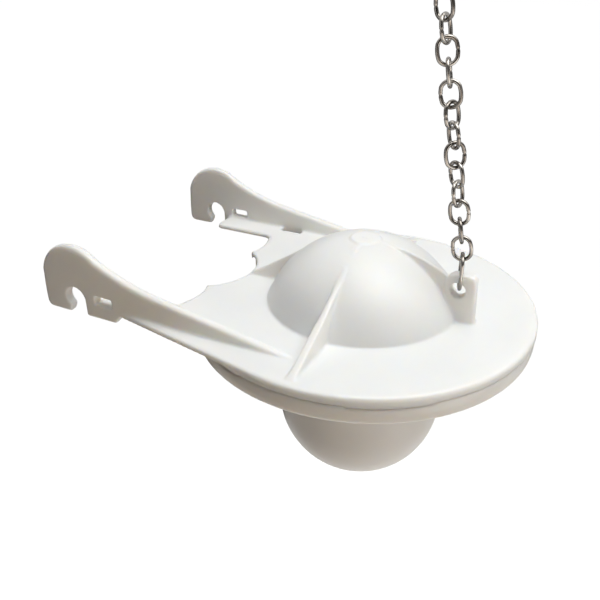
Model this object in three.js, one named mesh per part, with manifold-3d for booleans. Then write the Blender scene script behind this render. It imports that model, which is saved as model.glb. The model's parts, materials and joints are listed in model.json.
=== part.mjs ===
// Toilet flapper: a white moulded frame with a hollow dome and two hooked arms, a soft seal under
// its rim, a hollow bulb below, and a lift chain that ends in a wire hook for the flush lever.
// Millimetres, +Z up. The origin is the hinge axis, midway between the two hooks, and +Y lies
// along it. The frame reaches from there along +X to the chain lug.
import * as THREE from "three";
import { mergeVertices } from "three/addons/utils/BufferGeometryUtils.js";
import Module from "manifold-3d";

const wasm = await Module();
wasm.setup();

// Hinge: the pins of the flush valve sit in two keyholes
const pivotReach = 71.5;
const pivotHeight = 0.8;
const keyholeRadius = 3.4;
const nibAngle = 232;
const mouthFlare = 0.9;

// Disc
const discRadius = 47.5;
const plateThickness = 1.5;
const edgeRounding = 0.8;
const skirtDepth = 2.6;
const skirtWidth = 1.9;
const tabCount = 6;
const tabHalfAngle = 12.6;
const tabDrop = 0.5;

// Dome, with the raised boss at its top
const domeRadius = 27;
const domeHeight = 18.4;
const domeWall = 1.8;
const bossRadius = 4.2;
const bossRise = 0.15;
const dimpleRadius = 0.9;
const dimpleDepth = 0.25;

// Ribs that run from the rim over the dome, wider at their foot for draft
const ribTopWidth = 1.1;
const ribDraft = 0.033;
const ribInset = 2.1;
const ribReach = discRadius - ribInset;
const ribMerge = 14;
const ribSag = 0.9;
const gussetMerge = 19;
const ribMergeRise = 0.15;
const ribCrestReach = 3;
const ribCrestRise = 0.3;
const frontRibMeet = 1.2;
const frontRibBow = 0.95;

// Chain lug
const lugHoleReach = 26.6;
const lugHoleHeight = 9.1;
const lugHoleRadius = 2.1;
const lugThickness = 3.2;
const lugInner = 3.4;
const lugOuter = 4.6;
const lugCrown = 4.5;
const lugInnerRound = 3;
const lugOuterRound = 1.6;
const lugDraft = 0.5;
const lugEdgeRounding = 0.5;

// Arms: an upright blade on each side, with a shelf along its inner face
const bladeOuter = 37.6;
const bladeThickness = 2.8;
const bladeRounding = 1.1;
const bladeFootDepth = 1.2;
const bladeFront = 3;
const bladeBend = 44;
const bladeBendHeight = 7.1;
const bladeSag = 0.75;
const hookHeadRadius = 11.9;
const hookHeadRise = 4.1;
const hookHeadShift = 0.4;
const hookHeadFront = 47;
const hookHeadBack = 165;
const hookFootRound = 2;
const hookBottom = 4.3;
const hookBack = 11.5;
const heelLength = 13;
const heelRamp = 2.6;
const shelfInner = 26.9;
const shelfGap = 1.9;
const shelfTipRound = 1.6;
const windowLength = 5.9;
const windowHeight = 2.6;
const windowSill = 0.5;
const windowStart = 7;
const slotLength = 7.5;
const slotWidth = 2.4;
const slotStart = 36.4;

// Cut-out between the arms, round the overflow tube
const tubeRadius = 15.2;
const tubeCentre = 52.2;
const cuspHalf = 12.9;
const cornerRadius = 3.2;
const cornerReach = 44.1;
const sideBow = 1.2;

// Seal
const seamGap = 0.3;
const sealDepth = 7;
const sealWeb = 2.1;
const seatInner = 31.5;
const seatInset = 1.3;
const seatOuter = discRadius - seatInset;
const seatDrop = 0.3;
const seatLip = 1;
const sealWebStep = 0.7;
const sealToe = 0.4;
const sealToeBevel = 0.6;
const sealToeHeight = 2;
const sealEdgeBevel = 0.3;

// Locating ring under the plate, inside the seal
const ringDepth = 1.9;
const ringWall = 1.6;

// Bulb
const bulbRadius = 24;
const bulbDrop = 32.4;
const bulbWall = 1.5;
const neckClearance = 0.3;
const flangeRadius = 29;
const flangeThickness = 1.6;

// Chain
const wire = 1;
const linkWidth = 5.7;
const linkPitch = 4.8;
const linkPlay = 0.3;
const chainLean = 10;
const firstLinkWidth = 6.6;
const firstLinkReach = 9;
const firstLinkTwist = 17;
// the turn of each link about the chain, in degrees from the X axis towards +Y
const linkTwists = [4, 110, 0, 79, -36, 37, -45, 67, 8, 101, 27, 82, -21, 70, -15];

// Wire hook at the chain's end
const hookWire = 1.3;
const hookEyeRadius = 2.3;
const hookBowRadius = 4.6;
const hookShank = 3.2;
const hookEyeStart = 50;
const hookEyeEnd = -240;
const hookBowStart = 250;
const hookBowEnd = 20;
const hookTipIn = 1;
const hookTipDrop = 1.5;
const hookTwist = 70;

// Facets
const discSegments = 80;
const domeSegments = 60;
const domeRings = 8;
const bulbSegments = 40;
const holeSegments = 28;
const bossSegments = 30;
const hookWireSegments = 8;
const hookSteps = 36;
const roundingSteps = 3;
const arcSteps = 6;
const linkSegments = 16;
const wireSegments = 7;
// how far a shape that is joined or cut runs past the face that it meets
const overrun = 1;

const radians = THREE.MathUtils.degToRad;

// A closed geometry as a solid for joins and cuts
function toSolid(geometry) {
  const bare = geometry.index ? geometry.toNonIndexed() : geometry.clone();
  for (const name of Object.keys(bare.attributes)) {
    if (name !== "position") {
      bare.deleteAttribute(name);
    }
  }
  const merged = mergeVertices(bare, 1e-4);
  return new wasm.Manifold(new wasm.Mesh({
    numProp: 3,
    vertProperties: new Float32Array(merged.attributes.position.array),
    triVerts: new Uint32Array(merged.index.array),
  }));
}

function toGeometry(solid) {
  const mesh = solid.getMesh();
  const geometry = new THREE.BufferGeometry();
  geometry.setAttribute("position", new THREE.BufferAttribute(mesh.vertProperties, 3));
  geometry.setIndex(new THREE.BufferAttribute(mesh.triVerts, 1));
  geometry.computeVertexNormals();
  return geometry;
}

// A solid turned about Z from a closed profile of [radius, height] points
function turned(profile, segments) {
  const points = profile.map(([r, z]) => new THREE.Vector2(r, z));
  points.push(points[0].clone());
  const geometry = new THREE.LatheGeometry(points, segments);
  geometry.rotateX(Math.PI / 2);
  return facedOut(geometry);
}

// Turns a closed geometry inside out where its volume comes out negative
function facedOut(geometry) {
  const position = geometry.attributes.position;
  const index = geometry.index.array;
  const a = new THREE.Vector3();
  const b = new THREE.Vector3();
  const c = new THREE.Vector3();
  let volume = 0;
  for (let i = 0; i < index.length; i += 3) {
    a.fromBufferAttribute(position, index[i]);
    b.fromBufferAttribute(position, index[i + 1]);
    c.fromBufferAttribute(position, index[i + 2]);
    volume += a.dot(b.cross(c));
  }
  if (volume < 0) {
    for (let i = 0; i < index.length; i += 3) {
      [index[i], index[i + 1]] = [index[i + 1], index[i]];
    }
  }
  return geometry;
}

function outline(points) {
  return new THREE.Shape(points.map(([x, y]) => new THREE.Vector2(x, y)));
}

// Points along an arc, in degrees, both ends included
function arc(x, y, radius, from, to, steps) {
  const points = [];
  for (let i = 0; i <= steps; i++) {
    const angle = radians(from + ((to - from) * i) / steps);
    points.push([x + radius * Math.cos(angle), y + radius * Math.sin(angle)]);
  }
  return points;
}

// Points along the shallow arc from one point to another that bows to the left by bow
function bowed(from, to, bow, steps) {
  const points = [];
  const side = [-(to[1] - from[1]), to[0] - from[0]];
  const length = Math.hypot(...side);
  for (let i = 0; i <= steps; i++) {
    const t = i / steps;
    const out = (4 * t * (1 - t) * bow) / length;
    points.push([
      from[0] + (to[0] - from[0]) * t + side[0] * out,
      from[1] + (to[1] - from[1]) * t + side[1] * out,
    ]);
  }
  return points;
}

// A level slab: a plan outline between two heights
function slab(points, low, high) {
  const geometry = new THREE.ExtrudeGeometry(outline(points), {
    depth: high - low,
    bevelEnabled: false,
  });
  return geometry.translate(0, 0, low);
}

// An upright slab: an outline in X and Z between two places along Y
function upright(points, low, high) {
  const geometry = new THREE.ExtrudeGeometry(outline(points), {
    depth: high - low,
    bevelEnabled: false,
  });
  return geometry.rotateX(Math.PI / 2).translate(0, high, 0);
}

function box(x0, x1, y0, y1, z0, z1) {
  const geometry = new THREE.BoxGeometry(x1 - x0, y1 - y0, z1 - z0);
  return geometry.translate((x0 + x1) / 2, (y0 + y1) / 2, (z0 + z1) / 2);
}

function cylinder(radius, z0, z1, segments) {
  const geometry = new THREE.CylinderGeometry(radius, radius, z1 - z0, segments);
  return geometry.rotateX(Math.PI / 2).translate(0, 0, (z0 + z1) / 2);
}

// The frame. All its measures are from the disc's centre, with the disc's upper face at height 0.

const domeSphere = (domeRadius ** 2 + domeHeight ** 2) / (2 * domeHeight);
const domeCentre = domeHeight - domeSphere;
const boreRadius = domeRadius - domeWall;
const cavitySphere = domeSphere - domeWall;
const cavityFoot = domeCentre + Math.sqrt(cavitySphere ** 2 - boreRadius ** 2);
const domeTopAt = (r) => domeCentre + Math.sqrt(domeSphere ** 2 - r ** 2);
const wallMiddleAt = (r) => domeCentre + Math.sqrt((domeSphere - domeWall / 2) ** 2 - r ** 2);

const bladeInner = bladeOuter - bladeThickness;
const heelEnd = -pivotReach + heelLength;
const shelfEnd = heelEnd + heelRamp;
const shelfTip = -pivotReach + keyholeRadius + shelfGap;

// Plan of the plate: the disc, drawn out along two tangents to the arms, with the cut-out
// between them
function plateHalf() {
  const end = [shelfEnd, bladeOuter];
  const reach = Math.hypot(...end);
  const towards = THREE.MathUtils.radToDeg(Math.atan2(end[1], end[0]));
  const tangent = towards - THREE.MathUtils.radToDeg(Math.acos(discRadius / reach));
  const rim = arc(0, 0, discRadius, 0, tangent, Math.round((discSegments * tangent) / 360));
  const inShelf = (bladeInner + bladeOuter) / 2;
  const tip = arc(shelfTip + shelfTipRound, shelfInner + shelfTipRound, shelfTipRound, 180, 270, 3);
  const cornerAt = [-cornerReach - cornerRadius, shelfInner - cornerRadius];
  const corner = arc(...cornerAt, cornerRadius, 90, 0, arcSteps);
  const cuspReach = -tubeCentre + Math.sqrt(tubeRadius ** 2 - cuspHalf ** 2);
  const side = bowed([-cornerReach, cornerAt[1]], [cuspReach, cuspHalf], sideBow, arcSteps);
  const cuspAngle = THREE.MathUtils.radToDeg(Math.asin(cuspHalf / tubeRadius));
  const tube = arc(-tubeCentre, 0, tubeRadius, cuspAngle, 0, 2 * arcSteps);
  const last = [[end[0], inShelf], [shelfTip, inShelf]];
  return [...rim, end, ...last, ...tip, ...corner, ...side.slice(1, -1), ...tube];
}

function plan() {
  const half = plateHalf();
  return [...half, ...half.slice(1, -1).reverse().map(([x, y]) => [x, -y])];
}

function plate() {
  const geometry = new THREE.ExtrudeGeometry(outline(plan()), {
    depth: plateThickness,
    bevelEnabled: true,
    bevelThickness: edgeRounding,
    bevelSize: edgeRounding,
    bevelOffset: -edgeRounding,
    bevelSegments: roundingSteps,
  });
  // the lower rounding is trimmed away, so that the underside is flat to the edge
  geometry.translate(0, 0, -plateThickness - edgeRounding);
  const far = pivotReach + discRadius;
  const trim = box(-far, far, -far, far, -far, -plateThickness);
  return toSolid(geometry).subtract(toSolid(trim));
}

// The rim's skirt and its shallow tabs
function skirt() {
  const inner = discRadius - skirtWidth;
  const ring = (low) => turned([
    [inner, low],
    [discRadius, low],
    [discRadius, -edgeRounding],
    [inner, -edgeRounding],
  ], discSegments);
  const within = toSolid(slab(plan(), -sealDepth, 0));
  let solid = toSolid(ring(-skirtDepth)).intersect(within);
  const deep = toSolid(ring(-skirtDepth - tabDrop)).intersect(within);
  for (let i = 0; i < tabCount; i++) {
    solid = solid.add(deep.intersect(toSolid(tabWedge(i, 0))));
  }
  return solid;
}

function indexed(geometry) {
  return mergeVertices(geometry.deleteAttribute("uv").deleteAttribute("normal"), 1e-4);
}

// The sector of the rim that one tab fills, widened by clearance for the notch that takes it
function tabWedge(i, clearance) {
  const middle = (i * 360) / tabCount;
  const wide = tabHalfAngle + THREE.MathUtils.radToDeg(clearance / discRadius);
  const reach = discRadius + 2 * overrun;
  const points = [[0, 0], ...arc(0, 0, reach, middle - wide, middle + wide, 2)];
  return slab(points, -sealDepth - overrun, 0);
}

// One rib: its crest in [radius, height] and its foot inside the plate and the dome's wall
function rib(crest, innermost, turn) {
  const outer = domeRadius - domeWall / 2;
  const foot = [[outer, -plateThickness / 2]];
  if (crest[0][0] > outer) {
    foot.unshift([crest[0][0], -plateThickness / 2]);
  }
  for (let i = 1; i <= arcSteps; i++) {
    const r = outer + ((innermost - outer) * i) / arcSteps;
    foot.push([r, wallMiddleAt(r)]);
  }
  const shape = [...crest, ...foot.reverse()];
  const geometry = new THREE.ExtrudeGeometry(outline(shape), { depth: 1, bevelEnabled: false });
  const position = geometry.attributes.position;
  for (let i = 0; i < position.count; i++) {
    const height = position.getY(i);
    const half = ribTopWidth / 2 + ribDraft * (domeHeight - height);
    position.setXYZ(i, position.getX(i), (position.getZ(i) > 0.5 ? -1 : 1) * half, height);
  }
  return toSolid(facedOut(indexed(geometry)).rotateZ(radians(turn)));
}

function ribs() {
  const crown = domeHeight + bossRise / 2;
  const start = [bossRadius / 2, crown];
  const merge = [ribMerge, domeTopAt(ribMerge) + ribMergeRise];
  const crestAt = bossRadius + ribCrestReach;
  const nearTop = [crestAt, domeTopAt(crestAt) + ribCrestRise];
  const slope = bowed([ribReach, 0], merge, ribSag, arcSteps);
  const side = [...slope, nearTop, start];
  const gusset = [
    [tubeCentre - tubeRadius - edgeRounding, 0],
    [gussetMerge, domeTopAt(gussetMerge)],
  ];
  const lugInnerAt = lugHoleReach - lugInner;
  const frontMeet = [lugInnerAt, lugHoleHeight + lugCrown - frontRibMeet];
  const front = [
    [lugInnerAt + lugInnerRound / 2, lugHoleHeight + lugHoleRadius],
    ...bowed(frontMeet, nearTop, -frontRibBow, arcSteps),
    start,
  ];
  return rib(side, bossRadius / 2, 90)
    .add(rib(side, bossRadius / 2, -90))
    .add(rib(gusset, gussetMerge - overrun, 180))
    .add(rib(front, bossRadius / 2, 0));
}

function lug() {
  const top = lugHoleHeight + lugCrown;
  const inner = lugHoleReach - lugInner;
  const outer = lugHoleReach + lugOuter;
  const points = [
    ...arc(inner + lugInnerRound, top - lugInnerRound, lugInnerRound, 180, 90, arcSteps),
    ...arc(outer - lugOuterRound, top - lugOuterRound, lugOuterRound, 90, 0, arcSteps),
    [outer + lugDraft, -plateThickness / 2],
    [domeRadius - domeWall / 2, -plateThickness / 2],
  ];
  const wallEnd = domeRadius - domeWall / 2;
  for (let i = 1; i <= arcSteps; i++) {
    const r = wallEnd + ((inner - wallEnd) * i) / arcSteps;
    points.push([r, wallMiddleAt(r)]);
  }
  const geometry = new THREE.ExtrudeGeometry(outline(points), {
    depth: lugThickness - 2 * lugEdgeRounding,
    bevelEnabled: true,
    bevelThickness: lugEdgeRounding,
    bevelSize: lugEdgeRounding,
    bevelOffset: -lugEdgeRounding,
    bevelSegments: roundingSteps,
  });
  geometry.rotateX(Math.PI / 2).translate(0, lugThickness / 2 - lugEdgeRounding, 0);
  return toSolid(geometry);
}

function lugHole() {
  const geometry = new THREE.CylinderGeometry(
    lugHoleRadius,
    lugHoleRadius,
    lugThickness + 2 * overrun,
    holeSegments,
  );
  return toSolid(geometry.translate(lugHoleReach, 0, lugHoleHeight));
}

// One arm's blade, from its thin front end to the round head of its hook
function blade() {
  const head = [-pivotReach + hookHeadShift, pivotHeight + hookHeadRise];
  const round = arc(...head, hookHeadRadius, hookHeadFront, hookHeadBack, 2 * arcSteps);
  const bend = [-bladeBend, bladeBendHeight];
  const back = -pivotReach - hookBack;
  const bottom = -hookBottom;
  const points = [
    [-bladeFront, 0],
    ...bowed(bend, round[0], bladeSag, arcSteps).slice(0, -1),
    ...round,
    [back, pivotHeight],
    ...arc(back + hookFootRound, bottom + hookFootRound, hookFootRound, 180, 270, roundingSteps),
    [-bladeFront, bottom],
  ];
  const geometry = new THREE.ExtrudeGeometry(outline(points), {
    depth: bladeThickness - 2 * bladeRounding,
    bevelEnabled: true,
    bevelThickness: bladeRounding,
    bevelSize: bladeRounding,
    bevelOffset: -bladeRounding,
    bevelSegments: roundingSteps,
  });
  geometry.rotateX(Math.PI / 2).translate(0, bladeOuter - bladeRounding, 0);
  // ahead of the hook the blade's foot ends inside the plate
  const below = bottom - overrun;
  const trim = upright([
    [heelEnd, below],
    [heelEnd, bottom],
    [shelfEnd, -bladeFootDepth],
    [0, -bladeFootDepth],
    [0, below],
  ], bladeInner - overrun, bladeOuter + overrun);
  return toSolid(geometry).subtract(toSolid(trim));
}

// The keyhole that snaps over a pin: a round seat, and a mouth that opens downwards past a nib
function keyhole() {
  const seat = arc(-pivotReach, pivotHeight, keyholeRadius, 0, nibAngle, 3 * arcSteps);
  const nib = seat[seat.length - 1];
  const low = -hookBottom - 2 * overrun;
  const wall = -pivotReach + keyholeRadius;
  const flare = nib[0] - mouthFlare;
  const points = [[wall, low], ...seat, [flare, -hookBottom], [flare, low]];
  return toSolid(upright(points, bladeInner - overrun, bladeOuter + overrun));
}

function bladeWindow() {
  const from = -pivotReach + windowStart;
  const to = from + windowLength;
  return toSolid(box(
    from,
    to,
    bladeInner - overrun,
    bladeOuter + overrun,
    windowSill,
    windowSill + windowHeight,
  ));
}

function plateSlot() {
  const from = -slotStart - slotLength;
  const inner = bladeInner - slotWidth;
  return toSolid(box(from, -slotStart, inner, bladeInner, -2 * skirtDepth, overrun));
}

function mirroredY(solid) {
  return solid.mirror([0, 1, 0]);
}

function frameSolid() {
  const dome = [[0, -overrun], [domeRadius, -overrun]];
  const cavity = [[0, -sealDepth], [boreRadius, -sealDepth]];
  const cavityTop = domeHeight - domeWall;
  for (let i = 0; i < domeRings; i++) {
    // even steps of angle up the dome
    const share = 1 - i / domeRings;
    const r = domeSphere * Math.sin(Math.asin(domeRadius / domeSphere) * share);
    dome.push([r, domeTopAt(r)]);
    const q = cavitySphere * Math.sin(Math.asin(boreRadius / cavitySphere) * share);
    cavity.push([q, domeCentre + Math.sqrt(cavitySphere ** 2 - q ** 2)]);
  }
  dome.push([0, domeHeight]);
  cavity.push([0, cavityTop]);
  const boss = [
    [0, domeHeight - overrun],
    [bossRadius, domeHeight - overrun],
    [bossRadius, domeTopAt(bossRadius) + bossRise / 2],
    [bossRadius - bossRise, domeHeight + bossRise],
    [dimpleRadius, domeHeight + bossRise],
    [dimpleRadius, domeHeight + bossRise - dimpleDepth],
    [0, domeHeight + bossRise - dimpleDepth],
  ];
  const locating = cylinder(boreRadius + ringWall, -plateThickness - ringDepth, -overrun, domeSegments);
  let solid = plate()
    .add(skirt())
    .add(toSolid(turned(dome, domeSegments)))
    .add(toSolid(locating))
    .add(ribs())
    .add(lug())
    .add(toSolid(turned(boss, bossSegments)));
  const arm = blade();
  solid = solid.add(arm).add(mirroredY(arm));
  solid = solid.subtract(toSolid(turned(cavity, domeSegments))).subtract(lugHole());
  for (const cut of [keyhole(), bladeWindow(), plateSlot()]) {
    solid = solid.subtract(cut).subtract(mirroredY(cut));
  }
  return solid;
}

// The seal, a soft ring under the plate: a thin web round the locating ring, and a thick rim that
// seats. It is cut out round the overflow tube like the plate above it.
function sealSolid() {
  const top = -plateThickness - seamGap;
  const rimTop = -skirtDepth - seamGap;
  const inner = boreRadius + ringWall + seamGap;
  const skirtInner = discRadius - skirtWidth - seamGap;
  const edge = discRadius - seamGap / 2;
  const solid = toSolid(turned([
    [inner, top - sealWeb],
    [seatInner - sealWebStep, top - sealWeb],
    [seatInner, -sealDepth + seatDrop],
    [seatInner + seatLip, -sealDepth],
    [seatOuter, -sealDepth],
    [edge - sealToe, -sealDepth + sealToeBevel],
    [edge, -sealDepth + sealToeHeight],
    [edge, rimTop - sealEdgeBevel],
    [edge - sealEdgeBevel, rimTop],
    [skirtInner, rimTop],
    [skirtInner, top],
    [inner, top],
  ], discSegments));
  // each tab of the frame sits in a notch in the seal's upper edge
  const notchRing = toSolid(turned([
    [skirtInner, rimTop - tabDrop],
    [discRadius + overrun, rimTop - tabDrop],
    [discRadius + overrun, 0],
    [skirtInner, 0],
  ], discSegments));
  let notched = solid.intersect(toSolid(slab(plan(), -sealDepth - overrun, 0)));
  for (let i = 0; i < tabCount; i++) {
    notched = notched.subtract(notchRing.intersect(toSolid(tabWedge(i, seamGap))));
  }
  return notched;
}

// The bulb, a thin cup: its neck plugs into the frame, and its flange holds up the seal's inner edge
function bulbGeometry() {
  const neck = boreRadius - neckClearance;
  const neckTop = cavityFoot - neckClearance;
  const flangeTop = -plateThickness - seamGap - sealWeb - seamGap;
  const flangeLow = flangeTop - flangeThickness;
  const outer = [];
  const inner = [];
  for (let i = 0; i <= domeRings; i++) {
    const angle = (Math.PI / 2) * (i / domeRings);
    const r = bulbRadius * Math.cos(angle);
    outer.push([r, -bulbDrop - bulbRadius * Math.sin(angle)]);
    const within = bulbRadius - bulbWall;
    inner.push([within * Math.cos(angle), -bulbDrop - within * Math.sin(angle)]);
  }
  outer[domeRings][0] = 0;
  inner[domeRings][0] = 0;
  const profile = [
    [neck, neckTop],
    [neck, flangeTop],
    [flangeRadius, flangeTop],
    [flangeRadius, flangeLow],
    [neck, flangeLow],
    ...outer,
    ...inner.reverse(),
    [neck - bulbWall, flangeLow],
    [neck - bulbWall, neckTop],
  ];
  const points = profile.map(([r, z]) => new THREE.Vector2(r, z));
  // the profile closes through its open end at the neck's upper rim
  points.push(points[0].clone());
  const geometry = new THREE.LatheGeometry(points, bulbSegments).rotateX(Math.PI / 2);
  return toGeometry(toSolid(facedOut(geometry)));
}

// An oval link of round wire: a ring drawn out along Y, in the XY plane
function linkGeometry(width, innerLength) {
  const ring = (width - wire) / 2;
  const stretch = (innerLength + wire) / 2 - ring;
  const geometry = new THREE.TorusGeometry(ring, wire / 2, wireSegments, linkSegments);
  const position = geometry.attributes.position;
  for (let i = 0; i < position.count; i++) {
    const y = position.getY(i);
    const far = Math.abs(y) > wire ? Math.sign(y) : 0;
    position.setY(i, y + far * stretch);
  }
  return facedOut(indexed(geometry));
}

// The bent wire hook: an eye round the last link, a shank, and an open bow for the lever
function leverHookGeometry() {
  const eye = hookEyeRadius;
  const bow = hookBowRadius;
  const bowHeight = eye + hookShank + bow;
  const path = [
    ...arc(0, 0, eye, hookEyeStart, hookEyeEnd, 2 * arcSteps),
    [-hookWire / 2, eye + hookShank / 2],
    ...arc(0, bowHeight, bow, hookBowStart, hookBowEnd, 2 * arcSteps),
    [bow - hookTipIn, bowHeight - hookTipDrop],
  ].map(([x, y]) => new THREE.Vector3(x, y, 0));
  const section = arc(0, 0, hookWire / 2, 0, 360, hookWireSegments).slice(1);
  const geometry = new THREE.ExtrudeGeometry(outline(section), {
    steps: hookSteps,
    bevelEnabled: false,
    extrudePath: new THREE.CatmullRomCurve3(path),
  });
  return facedOut(indexed(geometry));
}

const plastic = (name, color, roughness) =>
  new THREE.MeshStandardMaterial({ name, color, roughness, metalness: 0 });
const steel = (name) =>
  new THREE.MeshStandardMaterial({ name, color: 0x8d8a86, roughness: 0.25, metalness: 1 });

const flapper = new THREE.Group();
const body = new THREE.Group();
// from the disc's centre to the hinge axis
body.position.set(pivotReach, 0, -pivotHeight);
flapper.add(body);

function piece(name, geometry, material) {
  const mesh = new THREE.Mesh(geometry, material);
  mesh.name = name;
  body.add(mesh);
  return mesh;
}

piece("frame", toGeometry(frameSolid()), plastic("white plastic", 0xf4f3f0, 0.45));
piece("seal", toGeometry(sealSolid()), plastic("silicone", 0xe6e4de, 0.35));
piece("bulb", bulbGeometry(), plastic("bulb plastic", 0xefece6, 0.4));

// Stands a link on its long axis at a place, along a direction, turned about it by twist degrees
function placed(mesh, centre, along, twist) {
  const across = new THREE.Vector3(Math.cos(radians(twist)), Math.sin(radians(twist)), 0);
  const normal = new THREE.Vector3().crossVectors(across, along).normalize();
  const width = new THREE.Vector3().crossVectors(along, normal);
  mesh.quaternion.setFromRotationMatrix(new THREE.Matrix4().makeBasis(width, along, normal));
  mesh.position.copy(centre);
}

// The first link is longer and stands in the lug's hole. At the lug's two faces its lower bend has
// risen, and lies off the hole's middle by its twist, so it hangs that much below the hole's top.
const firstRing = (firstLinkWidth - wire) / 2 - wire / 2;
const faceReach = (lugThickness + linkPlay) / 2 / Math.cos(radians(firstLinkTwist));
const bendRise = firstRing - Math.sqrt(firstRing ** 2 - faceReach ** 2);
const wireSide = faceReach * Math.sin(radians(firstLinkTwist)) + wire / 2;
const holeFall = lugHoleRadius - Math.sqrt(lugHoleRadius ** 2 - wireSide ** 2);
const firstLow = lugHoleHeight + lugHoleRadius - holeFall - bendRise - linkPlay;
const firstHigh = lugHoleHeight + firstLinkReach;
const up = new THREE.Vector3(0, 0, 1);
const lean = new THREE.Vector3(-Math.sin(radians(chainLean)), 0, Math.cos(radians(chainLean)));
const firstLength = firstHigh - firstLow + linkPlay / 2;
const firstLink = piece(
  "chain_link_01",
  linkGeometry(firstLinkWidth, firstLength),
  steel("link 01"),
);
const firstCentre = new THREE.Vector3(lugHoleReach, 0, firstLow + firstLength / 2);
placed(firstLink, firstCentre, up, 90 + firstLinkTwist);

let joint = new THREE.Vector3(lugHoleReach, 0, firstHigh);
linkTwists.forEach((twist, i) => {
  const number = String(i + 2).padStart(2, "0");
  const mesh = piece(
    `chain_link_${number}`,
    linkGeometry(linkWidth, linkPitch + linkPlay),
    steel(`link ${number}`),
  );
  placed(mesh, joint.clone().addScaledVector(lean, linkPitch / 2), lean, twist);
  joint = joint.clone().addScaledVector(lean, linkPitch);
});

const leverHook = piece("lever_hook", leverHookGeometry(), steel("hook wire"));
const eyeCentre = hookEyeRadius - hookWire / 2 - linkPlay / 2;
placed(leverHook, joint.clone().addScaledVector(lean, eyeCentre), lean, hookTwist);

export default flapper;
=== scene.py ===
import json
import math

import bmesh
import bpy
import numpy as np
from mathutils import Matrix, Vector


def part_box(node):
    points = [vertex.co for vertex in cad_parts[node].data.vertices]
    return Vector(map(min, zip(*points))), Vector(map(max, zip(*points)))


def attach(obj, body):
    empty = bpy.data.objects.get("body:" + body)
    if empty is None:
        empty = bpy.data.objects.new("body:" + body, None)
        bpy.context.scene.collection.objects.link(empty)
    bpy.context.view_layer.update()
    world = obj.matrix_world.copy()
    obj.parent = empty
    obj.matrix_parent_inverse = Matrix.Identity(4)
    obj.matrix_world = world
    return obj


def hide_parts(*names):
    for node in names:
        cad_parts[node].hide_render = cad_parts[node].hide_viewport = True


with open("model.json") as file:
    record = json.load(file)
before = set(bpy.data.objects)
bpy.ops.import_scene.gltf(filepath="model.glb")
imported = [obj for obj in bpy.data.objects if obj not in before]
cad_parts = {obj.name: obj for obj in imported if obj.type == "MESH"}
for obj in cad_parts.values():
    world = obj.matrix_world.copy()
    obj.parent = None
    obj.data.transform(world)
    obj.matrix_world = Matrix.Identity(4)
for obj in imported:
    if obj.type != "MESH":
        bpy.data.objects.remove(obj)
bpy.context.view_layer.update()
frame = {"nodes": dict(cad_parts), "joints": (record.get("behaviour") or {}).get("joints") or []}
scene = bpy.context.scene
scene.view_settings.view_transform = "Standard"


# Camera: it looks down on the flapper from the near side, a little over its pivot arms, from about
# 200 mm away, and is turned by its own two angles and a slight roll.
camera_place = Vector((0.13475, -0.16323, 0.09462))
azimuth = math.radians(27.02)
elevation = math.radians(28.91)
roll = math.radians(-0.38)
lens = 42.19
film_width = 36.0
nearest_seen = 0.01

backward = Vector((
    math.sin(azimuth) * math.cos(elevation),
    -math.cos(azimuth) * math.cos(elevation),
    math.sin(elevation),
))
level = Vector((math.cos(azimuth), math.sin(azimuth), 0.0))
upward = backward.cross(level)
right = math.cos(roll) * level + math.sin(roll) * upward
upward = backward.cross(right)
camera_data = bpy.data.cameras.new("camera")
camera_data.lens = lens
camera_data.sensor_width = film_width
camera_data.clip_start = nearest_seen
camera = bpy.data.objects.new("camera", camera_data)
turn = Matrix((right, upward, backward)).transposed().to_4x4()
camera.matrix_world = Matrix.Translation(camera_place) @ turn
scene.collection.objects.link(camera)
scene.camera = camera


# Light and stage: the flapper hangs by its chain in a white room over a pale floor. One wide lamp
# stands high over it, which leaves the near faces in soft shade, with weaker ones round it. Black
# cards give the polished wire something dark to mirror.
room_white = (1.0, 1.0, 1.0, 1.0)
room_shade = (1.0, 0.93, 0.85, 1.0)
room_light = 0.03
floor_colour = (0.7, 0.69, 0.67, 1.0)
floor_height = -0.45
half_floor = 5.0
floor_glow_below = 0.93
floor_glow_far = 1.0
floor_glow_reach = (0.4, 1.6)
card_black = (0.01, 0.01, 0.01, 1.0)
disc_centre = Vector((0.0715, 0.0, -0.0008))


def seen_rays(tree):
    """1 for the rays by which the camera, polished steel and clear things see the room."""
    rays = tree.nodes.new("ShaderNodeLightPath")
    mirrored = tree.nodes.new("ShaderNodeMath")
    mirrored.operation = "MAXIMUM"
    tree.links.new(rays.outputs["Is Camera Ray"], mirrored.inputs[0])
    tree.links.new(rays.outputs["Is Glossy Ray"], mirrored.inputs[1])
    through = tree.nodes.new("ShaderNodeMath")
    through.operation = "MAXIMUM"
    tree.links.new(mirrored.outputs[0], through.inputs[0])
    tree.links.new(rays.outputs["Is Transmission Ray"], through.inputs[1])
    return through.outputs[0]


world = bpy.data.worlds.new("white room")
scene.world = world
world.use_nodes = True
room = world.node_tree
room.nodes.clear()
shown = room.nodes.new("ShaderNodeBackground")
shown.inputs["Color"].default_value = room_white
shown.inputs["Strength"].default_value = 1.0
filling = room.nodes.new("ShaderNodeBackground")
filling.inputs["Color"].default_value = room_shade
filling.inputs["Strength"].default_value = room_light
either = room.nodes.new("ShaderNodeMixShader")
outcome = room.nodes.new("ShaderNodeOutputWorld")
room.links.new(seen_rays(room), either.inputs[0])
room.links.new(filling.outputs[0], either.inputs[1])
room.links.new(shown.outputs[0], either.inputs[2])
room.links.new(either.outputs[0], outcome.inputs["Surface"])

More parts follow.
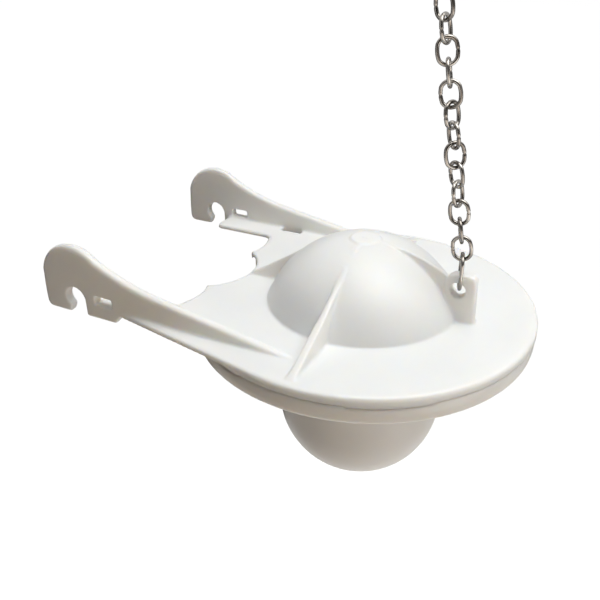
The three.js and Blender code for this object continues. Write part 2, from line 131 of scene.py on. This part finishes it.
floor_sheet = bpy.data.meshes.new("pale floor")
floor_sheet.from_pydata(
    [
        (-half_floor, -half_floor, floor_height),
        (half_floor, -half_floor, floor_height),
        (half_floor, half_floor, floor_height),
        (-half_floor, half_floor, floor_height),
    ],
    [],
    [(0, 1, 2, 3)],
)
floor = bpy.data.objects.new("pale_floor", floor_sheet)
scene.collection.objects.link(floor)
floor_paint = bpy.data.materials.new("pale floor")
floor_paint.use_nodes = True
painted = floor_paint.node_tree
painted.nodes.clear()
matt = painted.nodes.new("ShaderNodeBsdfDiffuse")
matt.inputs["Color"].default_value = floor_colour
glow = painted.nodes.new("ShaderNodeEmission")
strength = painted.nodes.new("ShaderNodeMath")
strength.operation = "MULTIPLY"
# the floor is whiter away from the flapper, so that it meets the room's white without an edge
floor_spot = painted.nodes.new("ShaderNodeTexCoord")
floor_away = painted.nodes.new("ShaderNodeVectorMath")
floor_away.operation = "LENGTH"
whiter = painted.nodes.new("ShaderNodeMapRange")
whiter.inputs["From Min"].default_value = floor_glow_reach[0]
whiter.inputs["From Max"].default_value = floor_glow_reach[1]
whiter.inputs["To Min"].default_value = floor_glow_below
whiter.inputs["To Max"].default_value = floor_glow_far
painted.links.new(floor_spot.outputs["Object"], floor_away.inputs[0])
painted.links.new(floor_away.outputs["Value"], whiter.inputs["Value"])
painted.links.new(whiter.outputs["Result"], strength.inputs[1])
both = painted.nodes.new("ShaderNodeAddShader")
surface = painted.nodes.new("ShaderNodeOutputMaterial")
painted.links.new(seen_rays(painted), strength.inputs[0])
painted.links.new(strength.outputs[0], glow.inputs["Strength"])
painted.links.new(matt.outputs[0], both.inputs[0])
painted.links.new(glow.outputs[0], both.inputs[1])
painted.links.new(both.outputs[0], surface.inputs["Surface"])
floor_sheet.materials.append(floor_paint)


def lamp(name, place, size, power, colour):
    """A round lamp turned towards the flapper's disc, which no view shows."""
    data = bpy.data.lights.new(name, "AREA")
    data.shape = "DISK"
    data.size = size
    data.energy = power
    data.color = colour
    lit = bpy.data.objects.new(name, data)
    lit.location = place
    lit.rotation_euler = (disc_centre - Vector(place)).to_track_quat("-Z", "Y").to_euler()
    lit.visible_camera = False
    scene.collection.objects.link(lit)


lamp("lamp overhead", (0.14, 0.0, 0.34), size=0.3, power=1.12, colour=(1.0, 0.995, 0.97))
lamp("lamp over the lug", (0.26, 0.02, 0.29), size=0.3, power=0.34, colour=(1.0, 0.99, 0.93))
lamp("lamp over the hooks", (-0.34, 0.05, 0.34), size=0.4, power=0.36, colour=(1.0, 0.95, 0.91))
lamp("lamp low on the right", (0.53, -0.12, -0.15), size=0.4, power=0.82, colour=(1.0, 0.97, 0.92))
lamp("lamp low at the front", (0.38, -0.45, -0.13), size=0.4, power=0.4, colour=(1.0, 0.75, 0.52))
lamp("lamp low on the left", (-0.10, -0.42, -0.24), size=0.4, power=0.12, colour=(1.0, 0.86, 0.7))
lamp("lamp low at the back", (-0.22, 0.50, -0.24), size=0.4, power=0.5, colour=(1.0, 0.97, 0.93))


def dark_card(name, place, size):
    """A black card turned towards the flapper. Only mirrored rays see it."""
    data = bpy.data.meshes.new(name)
    wide, high = size[0] / 2, size[1] / 2
    corners = [(-wide, -high, 0.0), (wide, -high, 0.0), (wide, high, 0.0), (-wide, high, 0.0)]
    facing = (disc_centre - Vector(place)).to_track_quat("Z", "Y").to_matrix().to_4x4()
    spots = [Matrix.Translation(place) @ facing @ Vector(corner) for corner in corners]
    data.from_pydata(spots, [], [(0, 1, 2, 3)])
    card = bpy.data.objects.new(name, data)
    scene.collection.objects.link(card)
    black = bpy.data.materials.new(name)
    black.use_nodes = True
    paint = black.node_tree.nodes["Principled BSDF"]
    paint.inputs["Base Color"].default_value = card_black
    paint.inputs["Roughness"].default_value = 1.0
    data.materials.append(black)
    card.visible_camera = False
    card.visible_diffuse = False
    card.visible_shadow = False
    card.visible_transmission = False


dark_card("card behind the camera", (0.26, -0.45, 0.22), (0.75, 0.6))
dark_card("card on the left", (-0.45, -0.18, 0.12), (0.45, 0.7))
dark_card("card on the right", (0.60, 0.10, 0.16), (0.5, 0.5))
dark_card("card behind the chain", (-0.12, 0.50, -0.16), (0.9, 0.6))
dark_card("card below the bulb", (-0.24, 0.36, -0.40), (0.9, 0.7))


# The moulded frame: disc, dome, ribs, chain lug and the two hooked arms come out of one mould in
# white polypropylene. Every corner has the small radius that such a mould leaves, and the surface
# has a fine satin grain from the tool.
frame_grid = 0.00036
frame_rounding = 4
frame_faces = 170000
doubles_within = 1e-6
corner_softness = 0.5
rim_radius = 0.0475
skirt_inner_radius = 0.0456
dome_sphere = 0.0290096
dome_wall = 0.0018
bore_radius = 0.0252
ring_radius = 0.0268
dome_centre = disc_centre + Vector((0.0, 0.0, -0.0106096))
sphere_flats = 0.00012
upright_flats = 0.00006
outside_stray = 0.00003
facing_least = 0.96
facing_spread = 0.03
head_centre = Vector((0.0004, 0.0, 0.0041))
head_facets = 12
head_facet = math.radians(118.0 / head_facets)
head_start = math.radians(47.0)
head_reach = (0.0104, 0.0121)
frame_colour = (0.88, 0.875, 0.86)
plastic_ior = 1.49
glow_colours = (1.0, 0.8, 0.58)
cloud_scale = 38.0
cloud_shade = 0.965
grain_scale = 5200.0
grain_strength = 0.12
grain_height = 0.00004
sheen_spread = 0.06
no_length = 1e-9


def merged_copy(node, name):
    """A copy of a CAD node whose loose triangles are joined at their corners."""
    piece = bpy.data.objects.new(name, frame["nodes"][node].data.copy())
    scene.collection.objects.link(piece)
    shape = bmesh.new()
    shape.from_mesh(piece.data)
    bmesh.ops.remove_doubles(shape, verts=shape.verts, dist=doubles_within)
    shape.to_mesh(piece.data)
    shape.free()
    piece.data.materials.clear()
    return piece


def set_in(piece):
    """Turns a piece's modifiers into its mesh."""
    made = bpy.data.meshes.new_from_object(
        piece.evaluated_get(bpy.context.evaluated_depsgraph_get())
    )
    piece.modifiers.clear()
    piece.data = made


def rounded_copy(node, name, grid, rounding):
    """A copy of a CAD solid on a fine grid, with all its corners rounded a little."""
    piece = merged_copy(node, name)
    skin = piece.modifiers.new("fine skin", "REMESH")
    skin.mode = "VOXEL"
    skin.voxel_size = grid
    soft = piece.modifiers.new("mould radii", "SMOOTH")
    soft.factor = corner_softness
    soft.iterations = rounding
    set_in(piece)
    return piece


def thinned(piece, most_faces):
    """Joins faces where the surface is flat, up to a number of triangles."""
    triangles = sum(len(face.vertices) - 2 for face in piece.data.polygons)
    thin = piece.modifiers.new("fewer flat faces", "DECIMATE")
    thin.ratio = min(1.0, most_faces / triangles)
    set_in(piece)
    piece.data.polygons.foreach_set("use_smooth", [True] * len(piece.data.polygons))


def spots_of(piece):
    """The places of a piece's vertices, one row each."""
    spots = np.empty(3 * len(piece.data.vertices))
    piece.data.vertices.foreach_get("co", spots)
    return spots.reshape(-1, 3)


def put_spots(piece, spots):
    piece.data.vertices.foreach_set("co", spots.ravel())
    piece.data.update()


def true_round(piece, centre, radius, upright, flats):
    """Lays the vertices near a round face on it: a sphere, or a cylinder that stands upright."""
    spots = spots_of(piece)
    facing = np.empty(3 * len(spots))
    piece.data.vertices.foreach_get("normal", facing)
    arm = spots - np.array(centre)
    if upright:
        arm[:, 2] = 0.0
    length = np.linalg.norm(arm, axis=1) + no_length
    out = arm / length[:, None]
    # the facets' corners lie on the round face and their middles inside it
    off = length - radius
    strayed = np.where(off < 0.0, -off / flats, off / outside_stray)
    facing_out = np.abs((out * facing.reshape(-1, 3)).sum(axis=1))
    aligned = (facing_out - facing_least) / facing_spread
    weight = np.clip(2.0 - strayed, 0.0, 1.0) * np.clip(aligned, 0.0, 1.0)
    put_spots(piece, spots - out * (off * weight)[:, None])


def true_heads(piece):
    """Bulges the facets round each hook's head out to their circle."""
    spots = spots_of(piece)
    across, high = spots[:, 0] - head_centre.x, spots[:, 2] - head_centre.z
    reach = np.hypot(across, high)
    share = (np.arctan2(high, across) - head_start) / head_facet
    on_arc = (share > 0.0) & (share < head_facets)
    on_head = on_arc & (reach > head_reach[0]) & (reach < head_reach[1])
    swell = np.cos((share % 1.0 - 0.5) * head_facet) / math.cos(head_facet / 2)
    grown = np.where(on_head, swell, 1.0)
    spots[:, 0] = head_centre.x + across * grown
    spots[:, 2] = head_centre.z + high * grown
    put_spots(piece, spots)


def satin_plastic(name, colour, roughness, glow, depth):
    """Moulded plastic with a fine grain; light enters it by a share and to a depth in metres."""
    material = bpy.data.materials.new(name)
    material.use_nodes = True
    tree = material.node_tree
    shader = tree.nodes["Principled BSDF"]
    shader.inputs["IOR"].default_value = plastic_ior
    shader.inputs["Subsurface Weight"].default_value = glow
    shader.inputs["Subsurface Radius"].default_value = glow_colours
    shader.inputs["Subsurface Scale"].default_value = depth
    place = tree.nodes.new("ShaderNodeTexCoord")
    cloud = tree.nodes.new("ShaderNodeTexNoise")
    cloud.inputs["Scale"].default_value = cloud_scale
    cloud.inputs["Detail"].default_value = 3.0
    tone = tree.nodes.new("ShaderNodeValToRGB")
    tone.color_ramp.elements[0].position = 0.3
    tone.color_ramp.elements[0].color = (*[cloud_shade * part for part in colour], 1.0)
    tone.color_ramp.elements[1].position = 0.7
    tone.color_ramp.elements[1].color = (*colour, 1.0)
    grain = tree.nodes.new("ShaderNodeTexNoise")
    grain.inputs["Scale"].default_value = grain_scale
    grain.inputs["Detail"].default_value = 2.0
    sheen = tree.nodes.new("ShaderNodeMapRange")
    sheen.inputs["To Min"].default_value = roughness - sheen_spread
    sheen.inputs["To Max"].default_value = roughness + sheen_spread
    bump = tree.nodes.new("ShaderNodeBump")
    bump.inputs["Strength"].default_value = grain_strength
    bump.inputs["Distance"].default_value = grain_height
    tree.links.new(place.outputs["Object"], cloud.inputs["Vector"])
    tree.links.new(place.outputs["Object"], grain.inputs["Vector"])
    tree.links.new(cloud.outputs["Fac"], tone.inputs["Fac"])
    tree.links.new(tone.outputs["Color"], shader.inputs["Base Color"])
    tree.links.new(cloud.outputs["Fac"], sheen.inputs["Value"])
    tree.links.new(sheen.outputs["Result"], shader.inputs["Roughness"])
    tree.links.new(grain.outputs["Fac"], bump.inputs["Height"])
    tree.links.new(bump.outputs["Normal"], shader.inputs["Normal"])
    return material


moulding = rounded_copy("frame", "moulded_frame", frame_grid, frame_rounding)
for radius in (dome_sphere, dome_sphere - dome_wall):
    true_round(moulding, dome_centre, radius, upright=False, flats=sphere_flats)
for radius in (rim_radius, skirt_inner_radius, bore_radius, ring_radius):
    true_round(moulding, disc_centre, radius, upright=True, flats=upright_flats)
true_heads(moulding)
thinned(moulding, frame_faces)
frame_finish = satin_plastic("white polypropylene", frame_colour, roughness=0.42, glow=0.6, depth=0.0045)
moulding.data.materials.append(frame_finish)
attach(moulding, "flapper")
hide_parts("frame")


# The seal: a soft milky silicone ring, moulded by itself and stretched over the frame's locating
# ring. Its outer edge shows as a band below the rim, and its upper edge bears on the frame's skirt.
seal_grid = 0.0004
seal_rounding = 5
seal_faces = 110000
seal_facet = math.radians(4.5)
seal_lift = 0.00055
seal_edge_radius = 0.0452
seal_edge_height = -0.0037
lip_start = -0.0040
lip_height = 0.0030
lip_drop = 0.0011
tube_centre = 0.0522
tube_radius = 0.0152
tube_inset = 0.0014
tube_reach = 0.006
seal_colour = (0.9, 0.88, 0.84)

seal_ring = rounded_copy("seal", "soft_seal", seal_grid, seal_rounding)
seal_spots = spots_of(seal_ring) - np.array(disc_centre)
turned_by = np.arctan2(seal_spots[:, 1], seal_spots[:, 0]) / seal_facet
swell = np.cos((turned_by % 1.0 - 0.5) * seal_facet) / math.cos(seal_facet / 2)
seal_spots[:, :2] *= swell[:, None]
# the upper edge is drawn up to the skirt, and its notches up to the tabs
from_axis = np.hypot(seal_spots[:, 0], seal_spots[:, 1])
upper_edge = (from_axis > seal_edge_radius) & (seal_spots[:, 2] > seal_edge_height)
seal_spots[upper_edge, 2] += seal_lift
# the lip below reaches a little deeper than the plain solid, where it bears on the valve
depth_share = np.clip((lip_start - seal_spots[:, 2]) / lip_height, 0.0, 1.0)
seal_spots[:, 2] -= lip_drop * depth_share
# round the overflow tube the seal stands back from the plate's edge
from_tube = seal_spots[:, :2] + np.array((tube_centre, 0.0))
reach = np.linalg.norm(from_tube, axis=1) + no_length
back = tube_inset * np.clip(1.0 - (reach - tube_radius) / tube_reach, 0.0, 1.0)
seal_spots[:, :2] += from_tube / reach[:, None] * back[:, None]
put_spots(seal_ring, seal_spots + np.array(disc_centre))
thinned(seal_ring, seal_faces)
seal_finish = satin_plastic("milky silicone", seal_colour, roughness=0.34, glow=0.7, depth=0.0045)
seal_ring.data.materials.append(seal_finish)
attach(seal_ring, "flapper")
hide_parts("seal")


# The bulb: a thin hollow float, moulded with a round bottom. Its open neck stands in the dome, and
# its flange holds the seal's inner edge up against the frame.
bulb_radius = 0.024
bulb_drop = 0.0324
bulb_wall = 0.0015
neck_radius = 0.0249
flange_radius = 0.029
flange_top = -0.0042
flange_low = -0.0058
flange_edge = 0.0004
bulb_turns = 160
bulb_rings = 40
bulb_crease = math.radians(50.0)
bulb_colour = (0.94, 0.915, 0.88)


def bulb_profile():
    """Radius and height from the neck's top down to the round bottom, outside and inside."""
    neck_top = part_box("bulb")[1][2] - disc_centre.z
    outside = [
        (neck_radius - flange_edge, neck_top),
        (neck_radius, neck_top - flange_edge),
        (neck_radius, flange_top),
        (flange_radius - flange_edge, flange_top),
        (flange_radius, flange_top - flange_edge),
        (flange_radius, flange_low + flange_edge),
        (flange_radius - flange_edge, flange_low),
        (neck_radius, flange_low),
    ]
    inside = [(neck_radius - bulb_wall, neck_top), (neck_radius - bulb_wall, flange_low)]
    for step in range(bulb_rings):
        slope = math.radians(90.0) * step / bulb_rings
        for radius, wall in ((bulb_radius, outside), (bulb_radius - bulb_wall, inside)):
            wall.append((radius * math.cos(slope), -bulb_drop - radius * math.sin(slope)))
    return outside, inside


bulb_outside, bulb_inside = bulb_profile()
bulb_shape = bmesh.new()
bulb_loops = []
for radius, height in [*reversed(bulb_inside), *bulb_outside]:
    loop = []
    for step in range(bulb_turns):
        angle = 2 * math.pi * step / bulb_turns
        offset = Vector((radius * math.cos(angle), radius * math.sin(angle), height))
        loop.append(bulb_shape.verts.new(disc_centre + offset))
    bulb_loops.append(loop)
for lower, upper in zip(bulb_loops, bulb_loops[1:]):
    for step in range(bulb_turns):
        following = (step + 1) % bulb_turns
        bulb_shape.faces.new((lower[step], lower[following], upper[following], upper[step]))
for loop, radius in ((bulb_loops[0], bulb_radius - bulb_wall), (bulb_loops[-1], bulb_radius)):
    pole = bulb_shape.verts.new(disc_centre + Vector((0.0, 0.0, -bulb_drop - radius)))
    for step in range(bulb_turns):
        bulb_shape.faces.new((loop[step], loop[(step + 1) % bulb_turns], pole))
bmesh.ops.recalc_face_normals(bulb_shape, faces=bulb_shape.faces)
for face in bulb_shape.faces:
    face.smooth = True
for edge in bulb_shape.edges:
    edge.smooth = edge.calc_face_angle() < bulb_crease
float_bulb = bpy.data.objects.new("float_bulb", bpy.data.meshes.new("float_bulb"))
bulb_shape.to_mesh(float_bulb.data)
bulb_shape.free()
scene.collection.objects.link(float_bulb)
bulb_finish = satin_plastic("bulb polypropylene", bulb_colour, roughness=0.36, glow=0.45, depth=0.0035)
float_bulb.data.materials.append(bulb_finish)
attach(float_bulb, "flapper")
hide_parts("bulb")


# The lift chain: short oval links of nickel-plated steel wire, each bent round the one below with
# its two ends butted at the middle of one long side. The first, longer link stands in the lug.
wire = 0.001
link_width = 0.0057
first_link_width = 0.0066
link_play = 0.0003
seam_depth = 0.22
seam_half_width = 0.00012
path_points = 72
wire_points = 16
dark_nickel = (0.17, 0.155, 0.14, 1.0)
bright_nickel = (0.36, 0.34, 0.315, 1.0)
stain_scale = 260.0
wire_roughness = (0.14, 0.3)
scratch_scale = 1800.0
scratch_strength = 0.12
scratch_height = 0.00002


def wire_steel():
    """Nickel plating with dull stains and fine scratches."""
    material = bpy.data.materials.new("nickel-plated wire")
    material.use_nodes = True
    tree = material.node_tree
    shader = tree.nodes["Principled BSDF"]
    shader.inputs["Metallic"].default_value = 1.0
    place = tree.nodes.new("ShaderNodeTexCoord")
    stain = tree.nodes.new("ShaderNodeTexNoise")
    stain.inputs["Scale"].default_value = stain_scale
    stain.inputs["Detail"].default_value = 2.0
    tone = tree.nodes.new("ShaderNodeValToRGB")
    tone.color_ramp.elements[0].position = 0.35
    tone.color_ramp.elements[0].color = dark_nickel
    tone.color_ramp.elements[1].position = 0.65
    tone.color_ramp.elements[1].color = bright_nickel
    sheen = tree.nodes.new("ShaderNodeMapRange")
    sheen.inputs["To Min"].default_value = wire_roughness[0]
    sheen.inputs["To Max"].default_value = wire_roughness[1]
    scratch = tree.nodes.new("ShaderNodeTexNoise")
    scratch.inputs["Scale"].default_value = scratch_scale
    bump = tree.nodes.new("ShaderNodeBump")
    bump.inputs["Strength"].default_value = scratch_strength
    bump.inputs["Distance"].default_value = scratch_height
    tree.links.new(place.outputs["Object"], stain.inputs["Vector"])
    tree.links.new(place.outputs["Object"], scratch.inputs["Vector"])
    tree.links.new(stain.outputs["Fac"], tone.inputs["Fac"])
    tree.links.new(tone.outputs["Color"], shader.inputs["Base Color"])
    tree.links.new(stain.outputs["Fac"], sheen.inputs["Value"])
    tree.links.new(sheen.outputs["Result"], shader.inputs["Roughness"])
    tree.links.new(scratch.outputs["Fac"], bump.inputs["Height"])
    tree.links.new(bump.outputs["Normal"], shader.inputs["Normal"])
    return material


plated_wire = wire_steel()


def link_tree():
    """One oval link in its own plane, its long sides along Y."""
    tree = bpy.data.node_groups.new("oval wire link", "GeometryNodeTree")
    for name in ("Width", "Length", "Wire", "Seam"):
        tree.interface.new_socket(name, in_out="INPUT", socket_type="NodeSocketFloat")
    tree.interface.new_socket("Geometry", in_out="OUTPUT", socket_type="NodeSocketGeometry")

    def node(kind, **settings):
        made = tree.nodes.new(kind)
        for key, value in settings.items():
            setattr(made, key, value)
        return made

    def put(value, socket):
        if isinstance(value, (int, float)):
            socket.default_value = value
        else:
            tree.links.new(value, socket)

    def math_node(operation, first, second=0.0):
        made = node("ShaderNodeMath", operation=operation)
        put(first, made.inputs[0])
        put(second, made.inputs[1])
        return made.outputs[0]

    given = node("NodeGroupInput")
    middle_width = math_node("SUBTRACT", given.outputs["Width"], given.outputs["Wire"])
    ring = math_node("MULTIPLY", middle_width, 0.5)
    path = node("GeometryNodeCurvePrimitiveCircle")
    path.inputs["Resolution"].default_value = path_points
    tree.links.new(ring, path.inputs["Radius"])
    # the ring is drawn out along Y: each half moves apart by what the length asks
    spot = node("GeometryNodeInputPosition")
    parts = node("ShaderNodeSeparateXYZ")
    tree.links.new(spot.outputs[0], parts.inputs[0])
    middle_length = math_node("ADD", given.outputs["Length"], given.outputs["Wire"])
    stretch = math_node("SUBTRACT", math_node("MULTIPLY", middle_length, 0.5), ring)
    share = math_node("DIVIDE", parts.outputs["Y"], given.outputs["Wire"])
    share = math_node("MAXIMUM", math_node("MINIMUM", share, 1.0), -1.0)
    offset = node("ShaderNodeCombineXYZ")
    tree.links.new(math_node("MULTIPLY", share, stretch), offset.inputs["Y"])
    drawn = node("GeometryNodeSetPosition")
    tree.links.new(path.outputs["Curve"], drawn.inputs["Geometry"])
    tree.links.new(offset.outputs[0], drawn.inputs["Offset"])
    # the butted ends leave a fine groove at the middle of the side towards +X
    near_seam = math_node("LESS_THAN", math_node("ABSOLUTE", parts.outputs["Y"]), seam_half_width)
    right_side = math_node("GREATER_THAN", parts.outputs["X"], 0.0)
    at_seam = math_node("MULTIPLY", near_seam, right_side)
    groove = math_node("MULTIPLY", at_seam, given.outputs["Seam"])
    swell = node("GeometryNodeSetCurveRadius")
    tree.links.new(drawn.outputs["Geometry"], swell.inputs["Curve"])
    tree.links.new(math_node("SUBTRACT", 1.0, groove), swell.inputs["Radius"])
    section = node("GeometryNodeCurvePrimitiveCircle")
    section.inputs["Resolution"].default_value = wire_points
    tree.links.new(math_node("MULTIPLY", given.outputs["Wire"], 0.5), section.inputs["Radius"])
    swept = node("GeometryNodeCurveToMesh")
    tree.links.new(swell.outputs["Curve"], swept.inputs["Curve"])
    tree.links.new(section.outputs["Curve"], swept.inputs["Profile Curve"])
    tree.links.new(math_node("SUBTRACT", 1.0, groove), swept.inputs["Scale"])
    smooth = node("GeometryNodeSetShadeSmooth")
    tree.links.new(swept.outputs["Mesh"], smooth.inputs["Geometry"])
    real = node("GeometryNodeRealizeInstances")
    tree.links.new(smooth.outputs[0], real.inputs[0])
    coated = node("GeometryNodeSetMaterial")
    coated.inputs["Material"].default_value = plated_wire
    tree.links.new(real.outputs[0], coated.inputs["Geometry"])
    outlet = node("NodeGroupOutput")
    tree.links.new(coated.outputs[0], outlet.inputs[0])
    return tree


link_shape = link_tree()


def bent_link(name, width, centre_length, centre, along, across):
    """One link, from the distance between its two bends' wire centres."""
    carrier = bpy.data.objects.new(name, bpy.data.meshes.new(name))
    scene.collection.objects.link(carrier)
    shaping = carrier.modifiers.new("link", "NODES")
    shaping.node_group = link_shape
    asked = {"Width": width, "Length": centre_length - wire, "Wire": wire, "Seam": seam_depth}
    for item in link_shape.interface.items_tree:
        if item.in_out == "INPUT":
            shaping[item.identifier] = asked[item.name]
    made = bpy.data.meshes.new_from_object(
        carrier.evaluated_get(bpy.context.evaluated_depsgraph_get())
    )
    carrier.modifiers.remove(shaping)
    carrier.data = made
    normal = across.cross(along)
    basis = Matrix((across, along, normal)).transposed().to_4x4()
    made.transform(Matrix.Translation(centre) @ basis)
    return carrier


hinges = frame["joints"]
bends = [Vector(hinge["pos_m"]) for hinge in hinges]
lean = (bends[-1] - bends[2]).normalized()
for count in range(1, len(hinges)):
    # each hinge lies at the upper bend of the link below it, along that link's width
    upper = bends[count]
    across = Vector(hinges[count]["axis"]).normalized()
    if count == 1:
        along = (upper - bends[0]).normalized()
        reach = (upper - bends[0]).length
        width = first_link_width
    else:
        along = lean
        reach = (upper - bends[count - 1]).length + link_play + wire
        width = link_width
    across = (across - across.dot(along) * along).normalized()
    body = f"link_{count:02d}"
    link = bent_link(f"steel_{body}", width, reach, upper - along * reach / 2, along, across)
    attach(link, body)
    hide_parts(f"chain_{body}")


# The wire hook: one piece of thicker wire bent to an eye round the last link, a short shank and an
# open bow that hangs on the flush lever's arm. Its two ends are cut square.
hook_wire = 0.0013
eye_radius = 0.0023
eye_turn = (50.0, -240.0)
bow_radius = 0.0046
bow_turn = (250.0, 20.0)
bow_tip = (-0.001, -0.0015)
shank = 0.0032
hook_twist = math.radians(70.0)
bend_steps = 16


def bend(middle_height, radius, start, end):
    """Points round one bend, in the hook's own plane, from one angle in degrees to another."""
    points = []
    for step in range(bend_steps + 1):
        angle = math.radians(start + (end - start) * step / bend_steps)
        points.append((radius * math.cos(angle), middle_height + radius * math.sin(angle)))
    return points


bow_height = eye_radius + shank + bow_radius
hook_path = [
    *bend(0.0, eye_radius, *eye_turn),
    (-hook_wire / 2, eye_radius + shank / 2),
    *bend(bow_height, bow_radius, *bow_turn),
    (bow_radius + bow_tip[0], bow_height + bow_tip[1]),
]
eye_middle = bends[-1] + lean * (eye_radius - hook_wire / 2 - link_play / 2)
hook_across = Vector((math.cos(hook_twist), math.sin(hook_twist), 0.0))
hook_across = (hook_across - hook_across.dot(lean) * lean).normalized()
hook_curve = bpy.data.curves.new("wire_hook", "CURVE")
hook_curve.dimensions = "3D"
hook_curve.bevel_depth = hook_wire / 2
hook_curve.bevel_resolution = 6
hook_curve.resolution_u = 8
hook_curve.use_fill_caps = True
bent_wire = hook_curve.splines.new("NURBS")
bent_wire.points.add(len(hook_path) - 1)
for point, (sideways, upwards) in zip(bent_wire.points, hook_path):
    point.co = (*(eye_middle + hook_across * sideways + lean * upwards), 1.0)
bent_wire.order_u = 4
bent_wire.use_endpoint_u = True
drawn_hook = bpy.data.objects.new("drawn hook", hook_curve)
scene.collection.objects.link(drawn_hook)
wire_hook = bpy.data.objects.new(
    "wire_hook",
    bpy.data.meshes.new_from_object(
        drawn_hook.evaluated_get(bpy.context.evaluated_depsgraph_get())
    ),
)
bpy.data.objects.remove(drawn_hook)
scene.collection.objects.link(wire_hook)
wire_hook.data.materials.append(plated_wire)
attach(wire_hook, "hook")
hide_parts("lever_hook")
